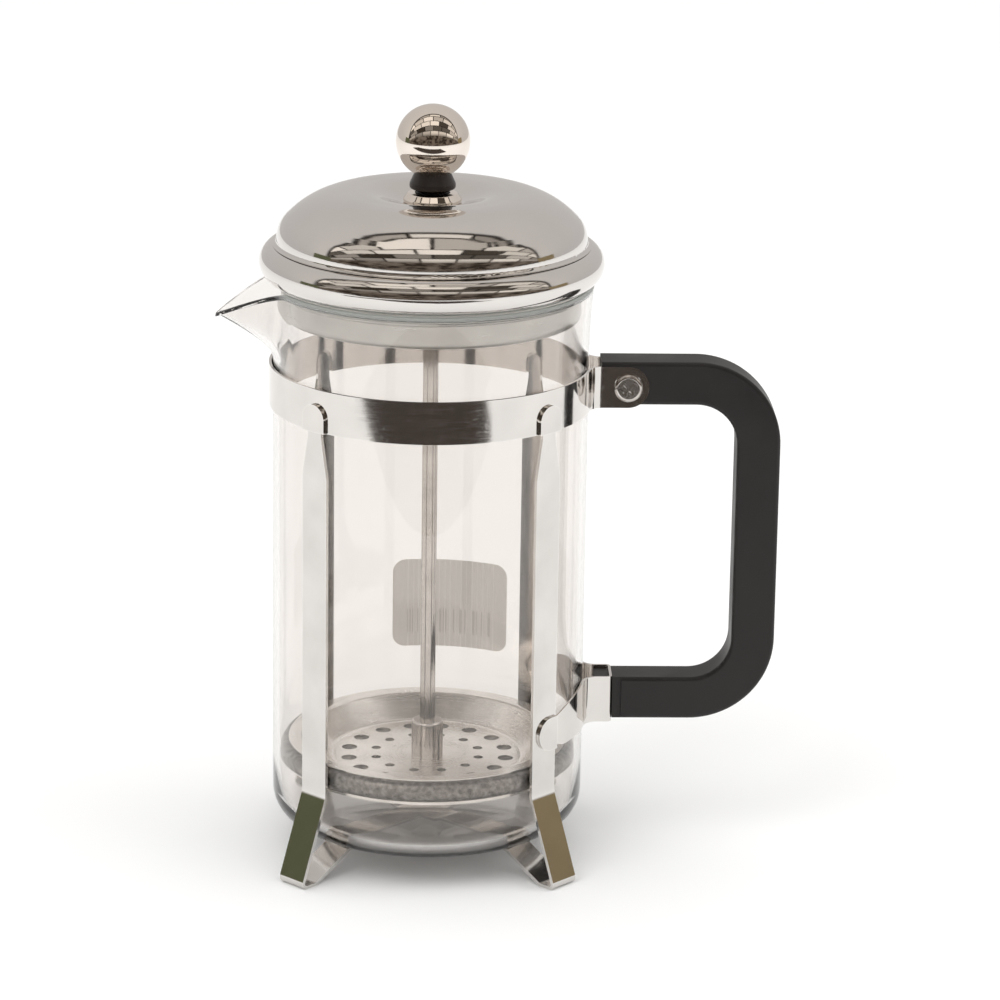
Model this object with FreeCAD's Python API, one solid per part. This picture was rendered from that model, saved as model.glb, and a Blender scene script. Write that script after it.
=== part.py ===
"""French press: a glass beaker in a bent-strip frame, with a domed lid and a filter plunger.

Millimetres, +Z up. The origin is on the surface the press stands on, under the beaker's axis.
The handle is on +X, the spout on -X, and the four legs stand at 45 degrees between the axes.
"""
import FreeCAD, Part
import math
import os

Vec = FreeCAD.Vector
CENTRE = Vec(0, 0, 0)
AXIS_X = Vec(1, 0, 0)
AXIS_Y = Vec(0, 1, 0)
AXIS_Z = Vec(0, 0, 1)

# ---- clearances -------------------------------------------------------------------------
body_gap = 0.3              # between faces of different bodies
running_gap = 0.05          # radial, shaft in bush and bush in ferrule
fit_gap = 0.1               # between pieces that are fixed together
beyond = 150.0              # longer than anything that it cuts

# ---- glass beaker -----------------------------------------------------------------------
glass_radius = 48.0
glass_wall = 2.0
glass_base = 3.0
glass_corner = 10.0         # outer radius between base and wall
glass_height = 171.1        # base to rim
glass_flare = 1.3           # how much wider the rim is than the body
flare_rise = 23.0           # height over which the wall flares
flare_bend_radius = 40.0
rim_round = 0.9
rim_bevel = 0.4             # how much the rim's inner edge opens
spout_reach = 16.0          # spout tip beyond the rim
spout_drop = 10.8           # spout tip below the rim
spout_depth = 23.0          # lowest point of the spout's root below the rim
spout_half_width = 21.0     # half the spout's width where it leaves the wall
spout_wall = 1.7
spout_side_share = 1.15     # wall measured across the slanting sides
spout_floor_share = 1.25    # wall measured across the slanting floor
spout_lip = 0.6             # how far the cut of the spout's channel runs above its edges
spout_root = 10.0           # how far inside the rim the spout starts
spout_tip_half = 1.2

# ---- frame: legs, band and bracket ------------------------------------------------------
strip_width = 10.0
strip_thickness = 1.0
rest_height = 8.6           # top of the strips under the beaker
knee_height = 27.5
knee_bend = 6.0
splay_run = 0.8             # extra splay that the foot's bend rounds off
foot_reach = 10.6           # outermost point of a foot beyond the glass
foot_land = 3.0             # flat of the foot that meets the surface
foot_bend = 1.9
return_inset = 9.5          # where the foot's inner flank meets the flat, inside the glass wall
return_bend = 3.0
cross_flat = 17.0           # length of the dropped middle of the lower strip
cross_slope = 2.4           # length of the slope down to it
cross_bend = 1.5
tongue_width = 5.4
tongue_rise = 6.6           # tongue tip above the band's lower edge
tongue_root = 1.5           # where the taper ends, below the band
taper_length = 14.0         # leg's taper below the band

band_thickness = 0.8
band_height = 12.8
band_drop = 31.8            # middle of the band below the rim
ear_reach = 11.8            # screw's axis beyond the glass
flare_bend = 5.0            # concave bend where the band leaves the glass for the ear
pocket_margin = 1.0         # room round a tongue inside its pressed pocket

bracket_height = 14.6
bracket_centre = 48.3
bracket_reach = 8.9         # outer face of the bracket's end wall beyond the glass
bracket_loop = 9.9          # length of the loop round the handle's peg
bracket_belly = 6.0         # how much further the loop's lower edge runs at full height
bracket_bend = 1.2
tab_height = 7.4            # bracket tab held on the leg
tab_drop = 1.6              # tab centre below the bracket's centre
tab_overlap = 1.4           # tab's end past the middle of the leg
leg_azimuth = 45.0          # first leg, in degrees from the handle
leg_pocket_depth = 0.9      # how far the leg is pressed out over the tab

# ---- handle -----------------------------------------------------------------------------
handle_width = 11.0
handle_depth = 13.3
handle_reach = 58.7         # handle's outer face beyond the glass
handle_outer_corner = 26.0
handle_gap = 3.7            # handle's upper end clear of the glass
handle_top_lift = 1.1       # centre of the upper bar above the band's centre
handle_low_lift = 0.4       # centre of the lower bar above the bracket's centre
handle_edge = 1.2
peg_width = 7.6
peg_depth = 9.6
peg_head = 4.6              # length of the peg's head inside the bracket
peg_head_drop = 0.6         # head's top and bottom inside the handle's
bolt_radius = 1.75
screw_head_radius = 4.3
screw_head_height = 1.9
screw_head_round = 1.1
recess_width = 0.9
recess_length = 4.2
recess_depth = 1.1
nut_across = 7.0
nut_height = 2.4
screw_tail = 0.8            # thread that shows beyond the nut
nut_chamfer = 0.1           # share of a nut's corner that is turned off

# ---- lid --------------------------------------------------------------------------------
sheet = 0.8
lid_rise = 27.0             # crown of the lid above the rim
lid_dish = 3.1              # seat of the ferrule below the crown
lid_inset = 1.1             # upright wall below the shoulder, inside the glass's outside
dish_run = 9.0              # from the ferrule's seat out to the start of the crown
shoulder_run = 11.5         # from the end of the crown out to the upright wall
shoulder_drop = 10.3        # from the crown down to the top of the upright wall
shoulder_bend = 9.0
crown_bend = 25.0
bulge_reach = 4.1           # bulge beyond the glass
bulge_height = 11.0
lip_inset = 1.8             # inner edge of the lip over the rim, inside the glass's outside
skirt_sheet = 0.6
skirt_depth = 10.6          # skirt below the glass rim
skirt_bead_drop = 2.6       # bead below the glass rim
skirt_bead_radius = 0.85
skirt_bead_proud = 0.35     # bead beyond the skirt's face
skirt_curl = 3.6            # width of the skirt's curled edge
skirt_play = 0.3            # skirt smaller than the bore's running size, for the bead
dish_bend = 20.0
seat_bend = 3.0
crease_bend = 1.2
flange_inset = 1.3          # skirt's flange, inside the glass's outside

ferrule_radius = 8.8
ferrule_top_radius = 7.4
ferrule_height = 2.9
ferrule_foot = 1.1          # height of the ferrule's widest part
stem_radius = 5.0
stem_length = 6.5
bush_radius = 3.9
bush_flange_radius = 5.3
bush_flange = 1.2
bush_lip = 0.4              # snap lip beyond the bush's body
bush_nose = 1.4             # tapered end below the stem
lid_nut_across = 13.0
lid_nut_height = 2.6
lid_washer_height = 0.8
lid_washer_radius = 8.1
lid_seat_radius = 9.5       # flat under the ferrule

# ---- plunger ----------------------------------------------------------------------------
rod_radius = 2.35
rod_tail = 2.0              # thread that shows below the nut
ball_radius = 11.2
ball_hole_spare = 0.3       # hole beyond the rod's end
rod_chamfer = 0.6
collar_height = 5.6
collar_radius = 6.95
collar_top_radius = 5.6
collar_foot_radius = 4.3
collar_foot_height = 1.2
collar_belly = 2.6          # top of the collar's widest part
hub_radius = 4.9
hub_height = 11.0
hub_round = 0.8
plate_height = 28.7         # top face of the perforated plate, plunger pressed home
plate_sheet = 0.6
plate_bend = 3.0
plate_rim_bend = 2.4
plate_dish_width = 15.7     # rim, roll and slope outside the plate's flat
plate_shoulder_inset = 7.1  # shoulder of the dish inside the filter's edge
plate_rim_inset = 2.6       # plate's edge inside the filter's edge
plate_rim_rise = 6.6
outer_holes = 16
outer_hole_radius = 2.4
outer_hole_inset = 5.3      # outer holes inside the plate's flat
inner_holes = 12
inner_hole_radius = 1.5
inner_hole_inset = 13.6
mesh_height = 5.9
mesh_band = 5.8             # radial thickness of the rolled mesh edge
mesh_sheet = 0.4
mesh_round = 2.0
mesh_top_round = 2.4        # outer top of the roll
spring_radius = 2.35         # outer radius of the coil
spring_wire = 0.6            # thickness of the coil's wall
cross_rim_inset = 2.6       # rim inside the filter's edge
cross_hub_radius = 9.0
cross_rim_width = 5.0
cross_rim_turn = 1.4        # turned-down edge of the rim
cross_bend_radius = 2.0
cross_rim_round = 0.9
cross_arm_width = 7.0
washer_radius = 6.5
washer_height = 1.0
plunger_nut_across = 8.0
plunger_nut_height = 3.2

label_width = 38.0
label_height = 29.0
label_thickness = 0.1
label_corner = 4.0
label_bottom = 48.0
label_azimuth = 80.0

# ---- places and sizes that follow from those above ---------------------------------------
glass_bottom = rest_height + body_gap
rim_level = glass_bottom + glass_height
side_face = handle_width / 2

band_centre = rim_level - band_drop
band_bottom = band_centre - band_height / 2
band_top = band_centre + band_height / 2
band_inner = glass_radius + body_gap
tongue_outer = band_inner + strip_thickness
pocket_inner = tongue_outer + fit_gap
ear_screw_x = glass_radius + ear_reach
foot_radius = glass_radius + foot_reach
inner_return = glass_radius - return_inset
bracket_end_x = glass_radius + bracket_reach
handle_outer_x = glass_radius + handle_reach
handle_start_x = glass_radius + handle_gap

lid_seat = rim_level + body_gap
lid_height = rim_level + lid_rise
lid_radius = glass_radius - lid_inset
bulge_radius = glass_radius + bulge_reach
lip_radius = glass_radius - lip_inset
flange_radius = glass_radius - flange_inset
ferrule_seat = lid_height - lid_dish
ferrule_top = ferrule_seat + ferrule_height
collar_bottom = ferrule_top + body_gap
ball_bottom = collar_bottom + collar_height

filter_radius = glass_radius - glass_wall - body_gap
plate_bottom = plate_height - plate_sheet
plate_flat_radius = filter_radius - plate_dish_width
plate_shoulder_radius = filter_radius - plate_shoulder_inset
plate_rim_radius = filter_radius - plate_rim_inset
outer_hole_circle = plate_flat_radius - outer_hole_inset
inner_hole_circle = plate_flat_radius - inner_hole_inset
cross_rim_radius = filter_radius - cross_rim_inset


# ---- helpers ----------------------------------------------------------------------------
def line(start, end):
    return Part.LineSegment(start, end).toShape()


def turn_arc(start, corner, end, radius):
    """Arc that rounds a corner between two directions, with the two tangent points."""
    before = (start - corner).normalize()
    after = (end - corner).normalize()
    half = before.getAngle(after) / 2
    reach = radius / math.tan(half)
    first = corner + before * reach
    last = corner + after * reach
    middle_way = (before + after).normalize()
    centre = corner + middle_way * (radius / math.sin(half))
    middle = centre - middle_way * radius
    return first, middle, last


def rounded_edges(corners, radii):
    """Edges of an open polyline whose inner corners are rounded."""
    edges = []
    last = corners[0]
    for index in range(1, len(corners) - 1):
        radius = radii[index - 1]
        if radius <= 0:
            edges.append(line(last, corners[index]))
            last = corners[index]
            continue
        first, middle, after = turn_arc(corners[index - 1], corners[index], corners[index + 1], radius)
        if (first - last).Length > 1e-6:
            edges.append(line(last, first))
        edges.append(Part.Arc(first, middle, after).toShape())
        last = after
    if (corners[-1] - last).Length > 1e-6:
        edges.append(line(last, corners[-1]))
    return edges


def offset_corners(corners, radii, normal, distance):
    """The polyline moved sideways in its plane, with its corner radii kept concentric."""
    sides = []
    for first, second in zip(corners, corners[1:]):
        sides.append(normal.cross((second - first).normalize()))
    moved = [corners[0] + sides[0] * distance]
    moved_radii = []
    for index in range(1, len(corners) - 1):
        before = sides[index - 1]
        after = sides[index]
        bisector = (before + after).normalize()
        moved.append(corners[index] + bisector * (distance / bisector.dot(after)))
        inward = distance if normal.dot(before.cross(after)) > 0 else -distance
        radius = radii[index - 1]
        moved_radii.append(radius - inward if radius > 0 else 0)
    moved.append(corners[-1] + sides[-1] * distance)
    return moved, moved_radii


def ribbon_face(corners, radii, normal, inside, outside):
    """Face between two parallel copies of a rounded polyline, seen along its normal."""
    left, left_radii = offset_corners(corners, radii, normal, outside)
    right, right_radii = offset_corners(corners, radii, normal, -inside)
    first_side = rounded_edges(left, left_radii)
    other_side = rounded_edges(right, right_radii)
    ends = [line(left[0], right[0]), line(left[-1], right[-1])]
    wire = Part.Wire(Part.__sortEdges__(first_side + other_side + ends))
    return Part.Face(wire)


def strip(corners, radii, across, width, thickness):
    """Sheet strip bent along a rounded polyline, centred on it in width and thickness."""
    face = ribbon_face(corners, radii, across, thickness / 2, thickness / 2)
    face.translate(across * (-width / 2))
    return face.extrude(across * width)


def revolved(corners, radii, angle=360):
    """Solid of revolution about Z from a closed rounded outline of (radius, height) points."""
    points = [Vec(r, 0, z) for r, z in corners]
    count = len(points)
    edges = []
    tangents = []
    for index in range(count):
        if radii[index] > 0:
            following = points[(index + 1) % count]
            tangents.append(turn_arc(points[index - 1], points[index], following, radii[index]))
        else:
            tangents.append((points[index], None, points[index]))
    for index in range(count):
        first, middle, last = tangents[index]
        if middle is not None:
            edges.append(Part.Arc(first, middle, last).toShape())
        following = tangents[(index + 1) % count][0]
        if (following - last).Length > 1e-6:
            edges.append(line(last, following))
    face = Part.Face(Part.Wire(Part.__sortEdges__(edges)))
    return face.revolve(CENTRE, AXIS_Z, angle)


def sheet_revolved(points, radii, thickness):
    """Thin-walled solid of revolution with one surface on a rounded polyline.

    The sheet lies below a run that leads away from the axis, and inside one that leads down.
    """
    corners = [Vec(r, 0, z) for r, z in points]
    face = ribbon_face(corners, radii, AXIS_Y, 0, thickness)
    return face.revolve(CENTRE, AXIS_Z, 360)


def cylinder(radius, bottom, top, centre=(0, 0)):
    return Part.makeCylinder(radius, top - bottom, Vec(centre[0], centre[1], bottom))


def ring(inner, outer, bottom, top):
    return cylinder(outer, bottom, top).cut(cylinder(inner, bottom, top))


def block(x0, x1, y0, y1, z0, z1):
    return Part.makeBox(x1 - x0, y1 - y0, z1 - z0, Vec(x0, y0, z0))


def hexagon(across, height, start, axis):
    """Hexagonal prism with a chamfered end, starting at a point and running along an axis."""
    corner = across / math.sqrt(3)
    points = []
    for index in range(7):
        angle = math.radians(60 * index)
        points.append(Vec(corner * math.cos(angle), corner * math.sin(angle), 0))
    prism = Part.Face(Part.makePolygon(points)).extrude(AXIS_Z * height)
    turned_off = nut_chamfer * corner
    chamfer = Part.makeCone(corner + height, corner - turned_off, height + turned_off)
    prism = prism.common(chamfer)
    prism.Placement = FreeCAD.Placement(start, FreeCAD.Rotation(AXIS_Z, axis))
    return prism


def across_handle(radius, x, z):
    """Cylinder along Y that passes right through the handle and both sides of the frame."""
    return Part.makeCylinder(radius, 4 * handle_width, Vec(x, -2 * handle_width, z), AXIS_Y)


def turned(shape, degrees):
    """Copy of a shape turned about Z."""
    copy = shape.copy()
    copy.rotate(CENTRE, AXIS_Z, degrees)
    return copy


def arch(width, bottom, top, depth_from, depth_to):
    """Round-topped prism standing across +X, for a tongue or the pocket that holds it."""
    half = width / 2
    shoulder = top - half
    edges = [
        line(Vec(depth_from, -half, bottom), Vec(depth_from, -half, shoulder)),
        Part.Arc(
            Vec(depth_from, -half, shoulder), Vec(depth_from, 0, top), Vec(depth_from, half, shoulder)
        ).toShape(),
        line(Vec(depth_from, half, shoulder), Vec(depth_from, half, bottom)),
        line(Vec(depth_from, half, bottom), Vec(depth_from, -half, bottom)),
    ]
    return Part.Face(Part.Wire(edges)).extrude(AXIS_X * (depth_to - depth_from))


def export(shapes):
    os.makedirs("parts", exist_ok=True)
    for name, shape in shapes.items():
        shape.exportStep("parts/" + name + ".step")
        print(name, "valid", shape.isValid(), "solids", len(shape.Solids), "volume", round(shape.Volume, 1))


# ---- beaker -----------------------------------------------------------------------------
def spout_section(x, half_width, top, bottom):
    """Rounded V across the spout at one distance from the axis, closed by a straight top."""
    reach = (top - bottom) / 0.75
    poles = [
        Vec(x, -half_width, top),
        Vec(x, -half_width * 0.5, top - reach),
        Vec(x, half_width * 0.5, top - reach),
        Vec(x, half_width, top),
    ]
    curve = Part.BezierCurve()
    curve.setPoles(poles)
    return Part.Wire([curve.toShape(), line(poles[-1], poles[0])])


def spout_solid(inset, raise_top):
    """Beak that flows out of the rim and down to the tip, made thinner by inset."""
    rim = glass_radius + glass_flare
    root = rim - spout_root
    tip = rim + spout_reach - inset / 2
    steps = 6
    sections = []
    for index in range(steps + 1):
        share = index / steps
        x = root + (tip - root) * share
        top = rim_level - spout_drop * (x - rim) / spout_reach
        width = spout_tip_half + (spout_half_width - spout_tip_half) * (1 - share)
        low = rim_level - spout_depth + (spout_depth - spout_drop - spout_tip_half) * share
        half = max(width - inset * spout_side_share, spout_tip_half / 4)
        floor = min(low + inset * spout_floor_share, top - spout_tip_half / 4)
        sections.append(spout_section(-x, half, top + raise_top, floor))
    return Part.makeLoft(sections, True, False)


def beaker_outline(radius, bottom, corner, top, flare, top_round):
    """Outline of a straight-sided glass with a rounded base and a gently flared top."""
    flare_from = rim_level - flare_rise
    return (
        [(0, bottom), (radius, bottom), (radius, flare_from), (radius + flare, top), (0, top)],
        [0, corner, flare_bend_radius, top_round, 0],
    )


def glass_beaker():
    outer = revolved(*beaker_outline(
        glass_radius, glass_bottom, glass_corner, rim_level, glass_flare, rim_round,
    ))
    inner = revolved(*beaker_outline(
        glass_radius - glass_wall, glass_bottom + glass_base, glass_corner - glass_wall,
        rim_level, glass_flare + rim_bevel, 0,
    ))
    spout_room = cylinder(glass_radius - glass_wall, rim_level - flare_rise, rim_level)
    below_rim = cylinder(beyond, glass_bottom, rim_level)
    outer_spout = spout_solid(0.0, 0.0).common(below_rim).cut(spout_room)
    body = outer.fuse(outer_spout)
    body = body.cut(inner).cut(spout_solid(spout_wall, spout_lip))
    return body.removeSplitter()


def paper_label():
    top = label_bottom + label_height
    half = label_width / 2
    sheet_ring = ring(glass_radius, glass_radius + label_thickness, label_bottom, top)
    plate = block(0, beyond, -half, half, label_bottom, top)
    upright = [edge for edge in plate.Edges if abs(edge.tangentAt(edge.FirstParameter).x) > 0.99]
    plate = plate.makeFillet(label_corner, upright)
    return turned(sheet_ring.common(plate), label_azimuth)


# ---- frame ------------------------------------------------------------------------------
def leg_pocket(opening):
    """Outward pressing over the bracket's tab, open on one side of the leg, and its hollow."""
    tab = bracket_centre - tab_drop
    room = tab_height / 2 + pocket_margin / 2
    centre = room - tab_overlap - pocket_margin / 2
    edge = strip_width / 2
    inner = band_inner + leg_pocket_depth
    outer = inner + strip_thickness
    solids = []
    for half, near, far, open_edge in (
        (room + strip_thickness, band_inner, outer, edge),
        (room, band_inner - 1, inner, edge + 1),
    ):
        pressing = Part.makeCylinder(half, far - near, Vec(near, centre, tab), AXIS_X)
        square = block(near, far, centre, open_edge, tab - half, tab + half)
        limit = block(near, far, -edge, open_edge, tab - half, tab + half)
        solids.append(pressing.fuse(square).common(limit))
    if opening < 0:
        solids = [solid.mirror(CENTRE, AXIS_Y) for solid in solids]
    return solids


def leg_strip(dropped, pocket_way, opening):
    """One strip that makes two opposite legs and the flat between them under the beaker.

    The lower of the two strips dips in the middle so that the other can cross over it. The leg
    next to the handle is pressed out where it holds the bracket's tab.
    """
    half = strip_thickness / 2
    stand = band_inner + half
    flat = rest_height - half
    foot_out = foot_radius - half
    land_in = foot_out - foot_land - foot_bend
    top = band_bottom + tongue_rise
    side = [
        Vec(stand, 0, top),
        Vec(stand, 0, knee_height),
        Vec(foot_out + splay_run, 0, half),
        Vec(land_in, 0, half),
        Vec(inner_return, 0, flat),
    ]
    radii = [knee_bend, foot_bend - half, foot_bend + half, return_bend]
    middle = []
    middle_radii = []
    if dropped:
        dip = strip_thickness + fit_gap
        edge = cross_flat / 2
        middle = [
            Vec(edge + cross_slope, 0, flat),
            Vec(edge, 0, flat - dip),
            Vec(-edge, 0, flat - dip),
            Vec(-edge - cross_slope, 0, flat),
        ]
        middle_radii = [cross_bend] * len(middle)
    mirrored = [Vec(-point.x, 0, point.z) for point in reversed(side)]
    corners = side + middle + mirrored
    all_radii = radii + middle_radii + list(reversed(radii))
    body = strip(corners, all_radii, AXIS_Y, strip_width, strip_thickness)
    for way in (0, 180):
        body = body.cut(turned(tongue_trim(top), way))
    shell, hollow = leg_pocket(opening)
    return body.fuse(turned(shell, pocket_way)).cut(turned(hollow, pocket_way)).removeSplitter()


def tongue_trim(top):
    """What is cut from a leg's top corners to leave a tapered tongue with a round end."""
    low = band_bottom - taper_length
    near = band_inner - 1
    far = band_inner + strip_thickness + 1
    wide = strip_width / 2
    narrow = tongue_width / 2
    shoulder = top - narrow
    root = band_bottom - tongue_root
    outline = [
        line(Vec(near, -wide, low), Vec(near, -narrow, root)),
        line(Vec(near, -narrow, root), Vec(near, -narrow, shoulder)),
        Part.Arc(Vec(near, -narrow, shoulder), Vec(near, 0, top), Vec(near, narrow, shoulder)).toShape(),
        line(Vec(near, narrow, shoulder), Vec(near, narrow, root)),
        line(Vec(near, narrow, root), Vec(near, wide, low)),
        line(Vec(near, wide, low), Vec(near, -wide, low)),
    ]
    tongue = Part.Face(Part.Wire(outline)).extrude(AXIS_X * (far - near))
    return block(near, far, -wide - 1, wide + 1, low, top + 1).cut(tongue)


def collar_path(radius, side, end_x, bend):
    """Corners and bends of a strip that rings the glass and runs out along the handle's sides.

    The strip leaves the ring tangentially, turns through a concave bend and runs along +X.
    """
    clear = radius + bend
    reach = math.sqrt(clear ** 2 - (side + bend) ** 2)
    leave = math.atan2(side + bend, reach)
    tangent_x = radius * math.cos(leave)
    tangent_y = -radius * math.sin(leave)
    slope = Vec(-math.sin(leave), -math.cos(leave), 0)
    bend_corner = Vec(tangent_x, tangent_y, 0) - slope * ((-side - tangent_y) / -slope.y)
    ring_corner = Vec(tangent_x, tangent_y, 0) + slope * ((-radius - tangent_y) / slope.y)
    front = [Vec(end_x, -side, 0), bend_corner, ring_corner, Vec(-radius, -radius, 0)]
    back = [Vec(point.x, -point.y, 0) for point in reversed(front)]
    radii = [bend, radius, radius]
    return front + back, radii + list(reversed(radii))


def clamp_band():
    """Band round the beaker, with pressed pockets for the legs and two ears for the screw."""
    half = band_thickness / 2
    end_x = ear_screw_x + band_height / 2
    path, radii = collar_path(band_inner + half, side_face + half, end_x, flare_bend)
    face = ribbon_face(path, radii, AXIS_Z, half, half)
    face.translate(AXIS_Z * band_bottom)
    band = face.extrude(AXIS_Z * band_height)
    ear_corners = block(ear_screw_x, beyond, -beyond, beyond, band_bottom, band_top)
    band = band.cut(ear_corners.cut(across_handle(band_height / 2, ear_screw_x, band_centre)))
    band = band.cut(across_handle(bolt_radius + fit_gap, ear_screw_x, band_centre))
    top = band_bottom + tongue_rise
    room = tongue_width + 2 * pocket_margin
    hollow_top = top + pocket_margin
    for way in (leg_azimuth, 180 - leg_azimuth, 180 + leg_azimuth, -leg_azimuth):
        shell = arch(room + 2 * band_thickness, band_bottom, hollow_top + band_thickness, 0, beyond)
        hollow = arch(room, band_bottom - 1, hollow_top, 0, beyond)
        shell = shell.common(ring(band_inner + half, pocket_inner + band_thickness, band_bottom, band_top))
        hollow = hollow.common(cylinder(pocket_inner, band_bottom - 1, band_top))
        hollow = hollow.cut(cylinder(glass_radius, band_bottom - 2, band_top + 1))
        band = band.fuse(turned(shell, way)).cut(turned(hollow, way))
    return band.removeSplitter()


def handle_bracket():
    """Strip from leg to leg round the handle's lower end, with a window for the handle's peg."""
    half = band_thickness / 2
    ring_radius = band_inner + half
    front = collar_path(ring_radius, side_face + half, bracket_end_x - half, flare_bend)[0][:3]
    start_turn = math.radians(leg_azimuth + strip_width)
    start = Vec(ring_radius * math.cos(start_turn), -ring_radius * math.sin(start_turn), 0)
    bottom = bracket_centre - bracket_height / 2
    tangent = Vec(math.sin(start_turn), math.cos(start_turn), 0)
    meet = tangent_meet(ring_radius, front[1], front[2], start, tangent)
    front_half = [start, meet, front[1], Vec(bracket_end_x - half, -(side_face + half), 0)]
    half_radii = [ring_radius, flare_bend, bracket_bend]
    corners = front_half + [Vec(point.x, -point.y, 0) for point in reversed(front_half)]
    all_radii = half_radii + list(reversed(half_radii))
    face = ribbon_face(corners, all_radii, AXIS_Z, half, half)
    face.translate(AXIS_Z * bottom)
    body = face.extrude(AXIS_Z * bracket_height)
    body = body.common(bracket_profile())
    window = block(
        bracket_end_x - 2 * band_thickness, bracket_end_x + 1, -peg_width / 2, peg_width / 2,
        bracket_centre + handle_low_lift - peg_depth / 2, bracket_centre + handle_low_lift + peg_depth / 2,
    )
    return body.cut(window)


def tangent_meet(radius, flare_corner, ring_corner, start, tangent):
    """Corner where the flare's tangent meets the tangent at the strip's start."""
    along = (ring_corner - flare_corner).normalize()
    offset = start - flare_corner
    cross = along.x * tangent.y - along.y * tangent.x
    reach = (offset.x * tangent.y - offset.y * tangent.x) / cross
    return flare_corner + along * reach


def bracket_profile():
    """Side view of the bracket: full height at the loop, tapering to a round tab at each leg."""
    bottom = bracket_centre - bracket_height / 2
    top = bracket_centre + bracket_height / 2
    tab = bracket_centre - tab_drop
    half = tab_height / 2
    tab_outer = band_inner + band_thickness
    tab_turn = math.radians(leg_azimuth) + math.asin(tab_overlap / tab_outer)
    tab_x = tab_outer * math.cos(tab_turn) + half
    loop_x = bracket_end_x - bracket_loop
    outline = [
        Vec(bracket_end_x + 1, 0, bottom),
        Vec(bracket_end_x + 1, 0, top),
        Vec(loop_x, 0, top),
        Vec(tab_x, 0, tab + half),
        Vec(tab_x, 0, tab - half),
        Vec(loop_x - bracket_belly, 0, bottom),
        Vec(bracket_end_x + 1, 0, bottom),
    ]
    face = Part.Face(Part.makePolygon(outline))
    face.translate(AXIS_Y * -beyond)
    prism = face.extrude(AXIS_Y * 2 * beyond)
    round_end = Part.makeCylinder(half, 2 * beyond, Vec(tab_x, -beyond, tab), AXIS_Y)
    return prism.fuse(round_end)


def handle_grip():
    """Plastic C-shaped handle with a rebated upper end and a pegged lower end."""
    top = band_centre + handle_top_lift
    low = bracket_centre + handle_low_lift
    half = handle_depth / 2
    outer = handle_outer_x - half
    bend = handle_outer_corner - half
    bar_end = bracket_end_x + fit_gap
    corners = [Vec(handle_start_x, 0, top), Vec(outer, 0, top), Vec(outer, 0, low), Vec(bar_end, 0, low)]
    body = strip(corners, [bend, bend], AXIS_Y, handle_width + 2 * band_thickness, handle_depth)
    body = body.makeFillet(handle_edge, long_edges(body, bar_end))
    for side in (-1, 1):
        body = body.cut(ear_rebate(side))
    body = body.fuse(peg(low, bar_end))
    return body.cut(across_handle(bolt_radius + fit_gap, ear_screw_x, band_centre)).removeSplitter()


def long_edges(body, bar_end):
    """Edges that run along the handle's sides, without those of its two ends."""
    side = handle_width / 2 + band_thickness
    chosen = []
    for edge in body.Edges:
        box = edge.BoundBox
        on_side = box.YLength < fit_gap and abs(abs(box.Center.y) - side) < fit_gap
        at_end = box.XLength < fit_gap and box.XMax < bar_end + fit_gap
        if on_side and not at_end:
            chosen.append(edge)
    return chosen


def ear_rebate(side):
    """Room for one ear of the band in the handle's side, so that the two lie flush."""
    face = handle_width / 2
    near = min(side * face, side * (face + handle_width))
    reach = band_height / 2 + fit_gap
    room = block(0, ear_screw_x, near, near + handle_width, 0, band_top + fit_gap)
    round_end = Part.makeCylinder(reach, handle_width, Vec(ear_screw_x, near, band_centre), AXIS_Y)
    return room.fuse(round_end)


def peg(level, bar_end):
    """Neck through the bracket's window and the head that keeps it there."""
    head_end = bracket_end_x - band_thickness - fit_gap
    start = head_end - peg_head
    neck_half = peg_width / 2 - fit_gap
    neck_rise = peg_depth / 2 - fit_gap
    neck = block(start, bar_end + 1, -neck_half, neck_half, level - neck_rise, level + neck_rise)
    head_half = handle_width / 2 - fit_gap
    head_rise = handle_depth / 2 - peg_head_drop
    head = block(start, head_end, -head_half, head_half, level - head_rise, level + head_rise)
    upright = [edge for edge in head.Edges if edge.BoundBox.ZLength > head_rise]
    return neck.fuse(head.makeFillet(bracket_bend, upright))


def handle_screw():
    """Pan-head screw with a cross recess, through both ears and the handle."""
    face_y = -(side_face + band_thickness)
    length = 2 * (side_face + band_thickness) + nut_height + screw_tail
    start = Vec(ear_screw_x, face_y, band_centre)
    shank = Part.makeCylinder(bolt_radius, length, start, AXIS_Y)
    head = revolved(
        [(0, 0), (screw_head_radius, 0), (screw_head_radius, screw_head_height), (0, screw_head_height)],
        [0, 0, screw_head_round, 0],
    )
    slot = block(
        -recess_length / 2, recess_length / 2, -recess_width / 2, recess_width / 2,
        screw_head_height - recess_depth, screw_head_height + 1,
    )
    for way in (45, 135):
        head = head.cut(turned(slot, way))
    head.Placement = FreeCAD.Placement(start, FreeCAD.Rotation(AXIS_Z, AXIS_Y * -1))
    return head.fuse(shank).removeSplitter()


def handle_nut():
    start = Vec(ear_screw_x, side_face + band_thickness, band_centre)
    nut = hexagon(nut_across, nut_height, start, AXIS_Y)
    bore = Part.makeCylinder(bolt_radius, nut_height + 2, start - AXIS_Y, AXIS_Y)
    return nut.cut(bore)


# ---- lid --------------------------------------------------------------------------------
def lid_dome():
    """Outer dome: seat, crown, round shoulder, upright wall and a rolled bulge over the rim."""
    crease = lid_seat + bulge_height
    roll = bulge_height / 2 - fit_gap
    points = [
        (stem_radius, ferrule_seat),
        (lid_seat_radius, ferrule_seat),
        (lid_seat_radius + dish_run, lid_height),
        (lid_radius - shoulder_run, lid_height),
        (lid_radius, lid_height - shoulder_drop),
        (lid_radius, crease),
        (bulge_radius, crease),
        (bulge_radius, lid_seat),
        (lip_radius, lid_seat),
    ]
    radii = [seat_bend, dish_bend, crown_bend, shoulder_bend, crease_bend, roll, roll]
    return sheet_revolved(points, radii, sheet)


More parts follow.
